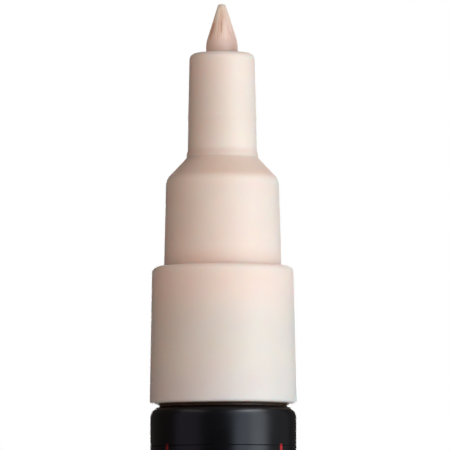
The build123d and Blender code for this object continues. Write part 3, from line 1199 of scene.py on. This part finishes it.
@dataclass
class Barrel(Assembly):
    """Black tube with a rounded rim, a printed ground and slim red stripes along it.

    Attributes:
        wall: Thickness of the tube.
        rim_height: Height of the rim's elliptical round.
        rim_land: Width of the flat inside that round.
        tail_round: Round at the rear end.
        groove_drop: From the rim to the groove that the holder's bead snaps into.
        groove_radius: Radius of that groove.
        groove_sink: How far the groove's middle lies inside the bore.
        print_drop: From the rim to the printed ground's front edge.
        print_tail: From the rear end to the printed ground's rear edge.
        print_step: Depth of the groove along the ground's edge.
        print_line: Width of that groove.
        stripe_angles: Angles of the stripes' middles, in degrees.
        stripe_width: Width of a stripe.
        stripe_end: Length of a stripe's narrowed ends, past the ground's edges.
        stripe_taper: Width of those ends as a share of the stripe's.
        columns: Evenly spaced columns of faces, beside those at the stripes' edges.
        rim_steps: Rows in the rim's round.
    """

    wall: float = 0.80
    rim_height: float = 0.88
    rim_land: float = 0.12
    tail_round: float = 0.15
    groove_drop: float = 4.0
    groove_radius: float = 0.20
    groove_sink: float = 0.03
    print_drop: float = 3.14
    print_tail: float = 6.0
    print_step: float = 0.05
    print_line: float = 0.07
    stripe_angles: tuple[float, ...] = (-49.5, 51.5, 128.5, -130.5)
    stripe_width: float = 0.32
    stripe_end: float = 0.10
    stripe_taper: float = 0.5
    columns: int = 144
    rim_steps: int = 14

    def outline(self) -> list[Point]:
        """The tube's section, from the rim down the outside and up the bore.

        Returns:
            Points of radius and height.
        """
        radius, tail, rim = reach("barrel")
        bore = radius - self.wall
        top, foot = rim - self.print_drop, tail + self.print_tail
        rim_width = self.wall - self.rim_land
        rim_foot = rim - self.rim_height
        arc = [radians(90 * step / self.rim_steps) for step in range(self.rim_steps + 1)]
        groove = bead(bore - self.groove_sink, rim - self.groove_drop, self.groove_radius, upward=True)
        rows = [
            Corner(radius, top + self.print_line + self.stripe_end),
            Corner(radius, top + self.print_line),
            Corner(radius - self.print_step, top + self.print_line / 2),
            Corner(radius, top),
            Corner(radius, foot),
            Corner(radius - self.print_step, foot - self.print_line / 2),
            Corner(radius, foot - self.print_line),
            Corner(radius, foot - self.print_line - self.stripe_end),
        ]
        return rounded(
            [
                Corner(bore, rim),
                *[
                    Corner(bore + self.rim_land + rim_width * sin(a), rim_foot + self.rim_height * cos(a))
                    for a in arc
                ],
                *rows,
                Corner(radius, tail, self.tail_round),
                Corner(bore, tail),
                *[corner for corner in groove if corner.r > bore],
            ]
        )

    def face_at(self, place: Vector) -> BarrelFace:
        """Finish of the face whose middle is at a place.

        Args:
            place: The face's middle in metres.

        Returns:
            The finish.
        """
        radius, tail, rim = reach("barrel")
        height = place.z / MM
        inside = min(rim - self.print_drop - height, height - tail - self.print_tail)
        if inside < -self.print_line - self.stripe_end or place.xy.length / MM < radius - self.wall / 2:
            return BarrelFace.PLASTIC
        angle = degrees(atan2(place.x, -place.y))
        aside = min(abs(turn_between(middle, angle)) for middle in self.stripe_angles)
        half = self.stripe_width / 2 * (1 if inside > -self.print_line else self.stripe_taper)
        if radians(aside) * radius < half:
            return BarrelFace.STRIPE
        if inside < -self.print_line:
            return BarrelFace.PLASTIC
        return BarrelFace.EDGE if inside < 0 else BarrelFace.GROUND

    def build(self) -> list[bpy.types.Object]:
        """Turns the tube, marks its printed faces and puts it in the barrel's place.

        Returns:
            The tube.
        """
        half = self.stripe_width / reach("barrel")[0] / 2
        sides = (-half, -half * self.stripe_taper, half * self.stripe_taper, half)
        edges = [radians(angle) + side for angle in self.stripe_angles for side in sides]
        columns = sorted({angle % (2 * pi) for angle in edges + even_columns(self.columns)})
        mesh = turned_mesh("barrel_tube", self.outline(), columns)
        for face in mesh.polygons:
            face.material_index = self.face_at(face.center)
        finishes = [BARREL_PLASTIC, PRINT_GROUND, PRINT_RED, PRINT_EDGE]
        return [place_piece("barrel_tube", mesh, Body.MARKER, Slot.BARREL, finishes, "barrel")]


@dataclass
class TailPlug(Assembly):
    """Plug in the barrel's rear end, with a flange and the hollow post that the cap is pushed onto.

    Attributes:
        columns: Columns of faces round it.
        flange_foot: Height of the flange's lower face.
        flange_round: Round of the flange's lower edge.
        flange_top_round: Round of its upper edge, at the seam with the barrel.
        post_foot_radius: Radius of the post at its lower end.
        post_top_radius: Radius of the post under the flange.
        post_end_round: Round of the post's lower edge.
        post_bore_radius: Radius of the well inside the post.
        post_floor: Thickness of the well's floor.
        skirt_radius: Radius of the skirt inside the barrel, between its lands.
        skirt_bore_radius: Radius inside the skirt.
        land_depth: How far the lands stand out.
        land_height: Height of a land.
        lands: Lands that grip the barrel.
    """

    columns: int = 128
    flange_foot: float = 32.1
    flange_round: float = 0.20
    flange_top_round: float = 0.15
    post_foot_radius: float = 4.438
    post_top_radius: float = 4.6776
    post_end_round: float = 0.45
    post_bore_radius: float = 3.20
    post_floor: float = 1.20
    skirt_radius: float = 4.85
    skirt_bore_radius: float = 4.07
    land_depth: float = 0.12
    land_height: float = 0.80
    lands: int = 2

    def build(self) -> list[bpy.types.Object]:
        """Turns the plug with the lands that grip the barrel and puts it in its place.

        Returns:
            The plug.
        """
        radius, foot, skirt_top = reach("tail_plug")
        barrel_tail = reach("barrel")[1]
        pitch = (skirt_top - barrel_tail) / (self.lands + 1)
        lands = []
        for land in range(1, self.lands + 1):
            middle = barrel_tail + land * pitch
            low, high = middle - self.land_height / 2, middle + self.land_height / 2
            proud = self.skirt_radius + self.land_depth
            lands += [Corner(self.skirt_radius, low), Corner(proud, low), Corner(proud, high)]
            lands += [Corner(self.skirt_radius, high)]
        outline = rounded(
            [
                Corner(0, foot),
                Corner(self.post_foot_radius, foot, self.post_end_round),
                Corner(self.post_top_radius, self.flange_foot),
                Corner(radius, self.flange_foot, self.flange_round),
                Corner(radius, barrel_tail, self.flange_top_round),
                Corner(self.skirt_radius, barrel_tail),
                *lands,
                Corner(self.skirt_radius, skirt_top),
                Corner(self.skirt_bore_radius, skirt_top),
                Corner(self.skirt_bore_radius, barrel_tail + self.skirt_bore_radius - self.post_bore_radius),
                Corner(self.post_bore_radius, barrel_tail),
                Corner(self.post_bore_radius, foot + self.post_floor),
                Corner(0, foot + self.post_floor),
            ]
        )
        mesh = turned_mesh("tail_plug_moulding", outline, even_columns(self.columns))
        return [place_piece("tail_plug_moulding", mesh, Body.MARKER, Slot.CAP, [CAP_PLASTIC], "tail_plug")]


@dataclass
class Cap(Assembly):
    """Cap with its moulded clip, and the inner cup that shuts on the holder's cone.

    Attributes:
        columns: Columns of faces round the shell.
        end_radius: Radius of the shell at its closed end, before the round.
        end_round: Round of the closed end's edge.
        end_wall: Thickness of the closed end.
        mouth_round: Round of the mouth's outer edge.
        mouth_chamfer: Chamfer of the mouth's inner edge.
        bore_radius: Radius of the bore that grips the cap seat.
        hollow_radius: Radius of the hollow round the inner cup.
        ribs: Ribs that hold the inner cup.
        rib_thickness: Thickness of a rib.
        rib_drop: From the inner cup's rim to the ribs' ends.
        rib_gap: Gap between ribs and inner cup.
        rib_root: How far a rib goes into the walls.
        clip_width: Width of the clip.
        clip_thickness: Thickness of the clip.
        clip_foot: Height of the clip's lower end.
        clip_root_height: Height of the root that joins it to the shell.
        clip_root_sink: How far the root goes into the shell's wall.
        clip_root_round: Round between root and clip.
        clip_heel_round: Round of the clip's outer lower edge.
        clip_tip: Height of the clip's free tip.
        clip_lip: From the tip to the nub.
        clip_nub_height: Height of the nub that grips a pocket.
        clip_nub_reach: How far the nub stands out towards the shell.
        clip_nub_steps: Steps in the nub's arc.
        clip_edge_round: Round of the clip's long edges.
        clip_edge_steps: Steps in that round.
        clip_crown: How far the outer face falls away from its middle to its edges.
        clip_strips: Strips of faces across the clip, an even number.
    """

    columns: int = 128
    end_radius: float = 5.632
    end_round: float = 0.80
    end_wall: float = 1.40
    mouth_round: float = 0.20
    mouth_chamfer: float = 0.25
    bore_radius: float = 4.7526
    hollow_radius: float = 4.582
    ribs: int = 6
    rib_thickness: float = 0.80
    rib_drop: float = 3.0
    rib_gap: float = 0.03
    rib_root: float = 0.10
    clip_width: float = 3.4
    clip_thickness: float = 1.2
    clip_foot: float = 1.6
    clip_root_height: float = 4.0
    clip_root_sink: float = 0.60
    clip_root_round: float = 0.45
    clip_heel_round: float = 2.4
    clip_tip: float = 25.5
    clip_lip: float = 0.9
    clip_nub_height: float = 2.4
    clip_nub_reach: float = 0.60
    clip_nub_steps: int = 8
    clip_edge_round: float = 0.40
    clip_edge_steps: int = 4
    clip_crown: float = 0.22
    clip_strips: int = 8

    @property
    def clip_face(self) -> float:
        """Distance of the clip's outer face from the axis."""
        return -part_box("cap_shell")[0].y / MM

    def shell(self) -> bpy.types.Mesh:
        """Turns the shell.

        Returns:
            The shell's mesh, without its clip and ribs.
        """
        radius, foot, mouth = reach("cap_shell")
        shelf = reach("cap_liner")[2]
        outline = rounded(
            [
                Corner(0, foot),
                Corner(self.end_radius, foot, self.end_round),
                Corner(radius, mouth, self.mouth_round),
                Corner(self.bore_radius + self.mouth_chamfer, mouth),
                Corner(self.bore_radius, mouth - self.mouth_chamfer),
                Corner(self.bore_radius, shelf),
                Corner(self.hollow_radius, shelf - self.bore_radius + self.hollow_radius),
                Corner(self.hollow_radius, self.end_wall),
                Corner(0, self.end_wall),
            ]
        )
        return turned_mesh("cap_shell_turned", outline, even_columns(self.columns))

    def clip_side(self) -> list[Point]:
        """The clip's outline seen from its side.

        Returns:
            Points of distance from the axis and height, from the root round the outside to the nub.
        """
        outer = self.clip_face
        inner = outer - self.clip_thickness
        wall = self.end_radius - self.clip_root_sink
        root = self.clip_foot + self.clip_root_height
        half = self.clip_nub_height / 2
        turns = [pi * step / self.clip_nub_steps for step in range(self.clip_nub_steps + 1)]
        nub = self.clip_tip - self.clip_lip - half
        return rounded(
            [
                Corner(wall, root),
                Corner(wall, self.clip_foot),
                Corner(outer, self.clip_foot, self.clip_heel_round),
                Corner(outer, self.clip_tip, self.clip_edge_round),
                Corner(inner, self.clip_tip, self.clip_edge_round / 2),
                *[Corner(inner - self.clip_nub_reach * sin(turn), nub + half * cos(turn)) for turn in turns],
                Corner(inner, root, self.clip_root_round),
            ]
        )

    def clip(self) -> bpy.types.Mesh:
        """Makes the clip as a bar with rounded edges and a crowned outer face.

        Returns:
            The clip's mesh, whose root reaches into the shell's wall.
        """
        half = self.clip_width / 2 * MM
        shape = bmesh.new()
        flank = shape.faces.new([shape.verts.new((-half, -r * MM, z * MM)) for r, z in self.clip_side()])
        pushed = bmesh.ops.extrude_face_region(shape, geom=[flank])["geom"]
        far = [part for part in pushed if isinstance(part, bmesh.types.BMVert)]
        bmesh.ops.translate(shape, verts=far, vec=(2 * half, 0, 0))
        long_edges = [edge for edge in shape.edges if edge.verts[0].co.x * edge.verts[1].co.x > 0]
        bmesh.ops.bevel(
            shape,
            geom=long_edges,
            offset=self.clip_edge_round * MM,
            segments=self.clip_edge_steps,
            profile=ROUND_SECTION,
            affect="EDGES",
        )
        across = [edge for edge in shape.edges if edge.verts[0].co.x * edge.verts[1].co.x < 0]
        bmesh.ops.subdivide_edges(shape, edges=across, cuts=self.clip_strips - 1, use_grid_fill=True)
        outer = self.clip_face
        for vert in shape.verts:
            share = max(0.0, 1 - (outer + vert.co.y / MM) / self.clip_thickness)
            vert.co.y += self.clip_crown * MM * share * (vert.co.x / half) ** 2
        return mesh_from(shape, "cap_clip_bar")

    def build(self) -> list[bpy.types.Object]:
        """Joins shell, ribs and clip into one moulding, puts it in its place and dresses the inner cup.

        Returns:
            The moulding and the inner cup.
        """
        cup_radius, cup_foot, cup_rim = reach("cap_liner")
        ribs = fins_mesh(
            "cap_ribs",
            self.ribs,
            self.rib_thickness,
            (cup_radius + self.rib_gap, self.hollow_radius + self.rib_root),
            (cup_foot - self.rib_root, cup_rim - self.rib_drop),
        )
        mesh = fused("cap_moulding", self.shell(), ribs, self.clip())
        moulding = place_piece("cap_moulding", mesh, Body.CAP, Slot.CAP, [CAP_PLASTIC], "cap_shell")
        return [moulding, dress_node("cap_liner", VALVE_PLASTIC)]


@dataclass
class Valve(Assembly):
    """Valve inside the holder, with body, washer, stem, spring and retainer, and the ball below it.

    Attributes:
        turns: Turns of the spring.
        wire_radius: Radius of its wire.
        steps: Sections in a turn.
        sides: Sides of the wire.
    """

    turns: int = 6
    wire_radius: float = 0.20
    steps: int = 36
    sides: int = 14

    def spring_mesh(self) -> bpy.types.Mesh:
        """Winds the spring's wire.

        Returns:
            The spring's mesh, closed at both ends.
        """
        reach_out, low, high = reach("valve_spring")
        radius = reach_out - self.wire_radius
        rise = high - low - 2 * self.wire_radius
        shape = bmesh.new()
        rings = []
        for step in range(self.turns * self.steps + 1):
            share = step / (self.turns * self.steps)
            angle = 2 * pi * self.turns * share
            outward = Vector((cos(angle), sin(angle), 0))
            middle = outward * radius + Vector((0, 0, low + self.wire_radius + rise * share))
            along = Vector((-sin(angle), cos(angle), rise / (2 * pi * radius * self.turns))).normalized()
            upward = along.cross(outward)
            ring = []
            for side in range(self.sides):
                turn = 2 * pi * side / self.sides
                offset = (outward * cos(turn) + upward * sin(turn)) * self.wire_radius
                ring.append(shape.verts.new((middle + offset) * MM))
            rings.append(ring)
        stitch(shape, rings)
        shape.faces.new(rings[0])
        shape.faces.new(rings[-1])
        return mesh_from(shape, "valve_spring_wire")

    def build(self) -> list[bpy.types.Object]:
        """Winds the spring and dresses the pieces round it.

        Returns:
            The spring, the pieces round it and the ball.
        """
        wire = place_piece(
            "valve_spring_wire", self.spring_mesh(), Body.MARKER, Slot.SPRING, [SPRING_WIRE], "valve_spring"
        )
        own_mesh(wire)
        plain = [dress_node(node, VALVE_PLASTIC) for node in ("valve_body", "valve_stem", "spring_retainer")]
        return [wire, *plain, dress_node("valve_seal", SEAL_RUBBER), dress_node("mixing_ball", BALL_STEEL)]


# The studio


class LinkState(Enum):
    """What a light with pieces of its own does, as Blender's word for it."""

    ONLY = "INCLUDE"
    SPARES = "EXCLUDE"


@dataclass(frozen=True)
class Lit:
    """Which pieces a light reaches.

    Attributes:
        how: Whether it lights the pieces alone or all others.
        pieces: Names of the pieces.
    """

    how: LinkState
    pieces: tuple[str, ...]

    def link(self, lamp: bpy.types.Object) -> None:
        """Sets which pieces a lamp lights.

        Args:
            lamp: The lamp.
        """
        linked = bpy.data.collections.new(f"linked_to_{lamp.name}")
        for piece in self.pieces:
            linked.objects.link(bpy.data.objects[piece])
        lamp.light_linking.receiver_collection = linked
        for entry in linked.collection_objects:
            entry.light_linking.link_state = self.how.value


ALL_PIECES = Lit(LinkState.SPARES, ("studio_floor",))
NOT_BARREL = Lit(LinkState.SPARES, ("studio_floor", "barrel_tube"))
ONLY_BARREL = Lit(LinkState.ONLY, ("barrel_tube",))
ONLY_HOLDER = Lit(LinkState.ONLY, ("holder_moulding",))
ONLY_FLOOR = Lit(LinkState.ONLY, ("studio_floor",))


@dataclass(frozen=True)
class Softbox:
    """Soft rectangular light that faces the marker's front.

    Attributes:
        name: The light's name.
        direction: Degrees round the marker from the camera's side towards +X, and above the horizon.
        size: Metres across and up.
        radiance: Brightness of its face.
        colour: Its colour, sRGB hex.
        distance: Metres from the point that it faces.
        glossy: Whether shiny surfaces mirror it.
        diffuse: Whether matt surfaces take its light.
        lit: Which pieces it lights.
    """

    name: str
    direction: tuple[float, float]
    size: tuple[float, float]
    radiance: float
    colour: str = "FFFFFF"
    distance: float = 0.55
    glossy: bool = True
    diffuse: bool = True
    lit: Lit = ALL_PIECES

    def place(self, aim: Vector) -> None:
        """Hangs the light up, unseen by the camera.

        Args:
            aim: Point that it faces, in metres.
        """
        lamp = bpy.data.lights.new(self.name, "AREA")
        lamp.shape = "RECTANGLE"
        lamp.size, lamp.size_y = self.size
        lamp.energy = self.radiance * pi * self.size[0] * self.size[1]
        lamp.color = linear(self.colour)[:3]
        turn, rise = [radians(angle) for angle in self.direction]
        out = Vector((sin(turn) * cos(rise), -cos(turn) * cos(rise), sin(rise)))
        holder = add_object(self.name, lamp)
        holder.location = aim + out * self.distance
        holder.rotation_euler = (-out).to_track_quat("-Z", "Y").to_euler()
        holder.visible_camera = False
        holder.visible_glossy = self.glossy
        holder.visible_diffuse = self.diffuse
        self.lit.link(holder)


@dataclass
class Studio:
    """Pale floor, soft lights, white surround and the camera.

    Attributes:
        aim_height: Height that the camera looks at, in millimetres.
        aim_side: How far to the marker's right it looks, in millimetres.
        distance: Distance of the camera, in millimetres.
        tilt: Degrees that the camera looks up.
        roll: Degrees that it leans.
        lens: Focal length, in millimetres.
        sensor: Width of the camera's sensor, in millimetres.
        nearest: Distance from which the camera sees, in millimetres.
        surround: Light from all round, sRGB hex.
        backdrop: What the camera sees behind the marker, sRGB hex.
        softboxes: The lights.
        floor_size: Length of the floor's sides, in metres.
        floor_sun: Strength of the floor's own sun.
        floor_sun_spread: Degrees that this sun measures across.
        floor_sun_lean: Degrees that it leans about X and Y.
    """

    aim_height: float = 134.13
    aim_side: float = 0.19
    distance: float = 522.0
    tilt: float = 3.6
    roll: float = -0.20
    lens: float = 528.0
    sensor: float = 36.0
    nearest: float = 50.0
    surround: str = "48423F"
    backdrop: str = "FFFFFF"
    softboxes: tuple[Softbox, ...] = (
        Softbox("key_softbox", (58.0, 4.0), (0.26, 1.10), 2.68, "EEF6FF"),
        Softbox("inner_softbox", (31.0, 4.0), (0.27, 1.10), 1.78, "DCEBFF"),
        Softbox("side_softbox", (97.0, 0.0), (0.51, 0.95), 0.18, "F4FAFF"),
        Softbox("side_fill", (92.0, 0.0), (0.51, 0.95), 0.62, "FFF0E4", glossy=False),
        Softbox("fill", (-16.0, -4.0), (0.51, 0.95), 1.10, "FFDEC3", glossy=False, lit=NOT_BARREL),
        Softbox("left_softbox", (-58.0, 0.0), (0.44, 0.95), 0.27, "ECDFFF", lit=NOT_BARREL),
        Softbox("left_sheen", (-58.0, 0.0), (0.44, 0.95), 0.29, "ECDFFF", diffuse=False, lit=ONLY_BARREL),
        Softbox("top_softbox", (35.0, 76.0), (0.40, 0.40), 0.35, "FFF2E8", glossy=False, lit=ONLY_HOLDER),
        Softbox("rim_strip_right", (58.0, 46.0), (0.36, 0.12), 6.0, "F6FAFF", lit=ONLY_BARREL),
        Softbox("rim_strip_left", (-62.0, 46.0), (0.36, 0.12), 1.2, "FFF4EE", lit=ONLY_BARREL),
        Softbox("back_softbox", (180.0, -6.0), (0.42, 0.95), 5.0, distance=0.90),
    )
    floor_size: float = 40.0
    floor_sun: float = 3.3
    floor_sun_spread: float = 60.0
    floor_sun_lean: tuple[float, float] = (-25.0, 18.0)

    def light(self) -> None:
        """Sets the surround, with a backdrop that the camera alone sees, and hangs up the lights."""
        world = bpy.data.worlds.new("studio_surround")
        world.use_nodes = True
        tree = world.node_tree
        tree.nodes.clear()
        seen = add_node(tree, "ShaderNodeLightPath").outputs["Is Camera Ray"]
        tones = {MIX_SHARE: seen, MIX_FIRST: linear(self.surround), MIX_SECOND: linear(self.backdrop)}
        tone = add_node(tree, "ShaderNodeMix", tones, data_type="RGBA")
        glow = add_node(tree, "ShaderNodeBackground", {"Color": tone.outputs[MIXED]})
        add_node(tree, "ShaderNodeOutputWorld", {"Surface": glow.outputs[0]})
        bpy.context.scene.world = world
        for softbox in self.softboxes:
            softbox.place(Vector((0, 0, self.aim_height * MM)))

    def lay_floor(self) -> None:
        """Lays the floor, with a soft sun of its own so that it is pale all over."""
        half = self.floor_size / 2
        mesh = bpy.data.meshes.new("studio_floor")
        corners = [(-half, -half, 0), (half, -half, 0), (half, half, 0), (-half, half, 0)]
        mesh.from_pydata(corners, [], [(0, 1, 2, 3)])
        mesh.materials.append(material_of(FLOOR_BOARD))
        floor = add_object("studio_floor", mesh)
        floor.visible_diffuse = False
        floor.visible_glossy = False
        floor.visible_shadow = False
        sun = bpy.data.lights.new("floor_sun", "SUN")
        sun.energy = self.floor_sun
        sun.angle = radians(self.floor_sun_spread)
        holder = add_object("floor_sun", sun)
        holder.rotation_euler = (*[radians(lean) for lean in self.floor_sun_lean], 0)
        ONLY_FLOOR.link(holder)

    def aim_camera(self) -> None:
        """Puts the camera at the photograph's place and makes it the scene's camera."""
        lens = bpy.data.cameras.new("camera")
        lens.sensor_width = self.sensor
        lens.lens = self.lens
        lens.clip_start = self.nearest * MM
        camera = add_object("camera", lens)
        tilt = radians(self.tilt)
        aim = Vector((self.aim_side, 0, self.aim_height))
        camera.location = (aim + Vector((0, -cos(tilt), -sin(tilt))) * self.distance) * MM
        turned = Matrix.Rotation(pi / 2 + tilt, 3, "X") @ Matrix.Rotation(radians(self.roll), 3, "Z")
        camera.rotation_euler = turned.to_euler()
        bpy.context.scene.camera = camera

    def build(self) -> None:
        """Sets up the studio, with colours shown as they are."""
        bpy.context.scene.view_settings.view_transform = "Standard"
        self.lay_floor()
        self.light()
        self.aim_camera()


def main() -> None:
    """Builds every sub-assembly, reports each piece and sets up the studio round them."""
    logging.basicConfig(level=logging.INFO, format="%(name)s: %(message)s")
    for assembly in (Nib(), FrontHolder(), Barrel(), TailPlug(), Cap(), Valve()):
        for piece in assembly.build():
            finishes = ", ".join(material.name for material in piece.data.materials)
            LOG.info("%s has %d faces, in %s", piece.name, len(piece.data.polygons), finishes)
    Studio().build()


if __name__ == "__main__":
    main()
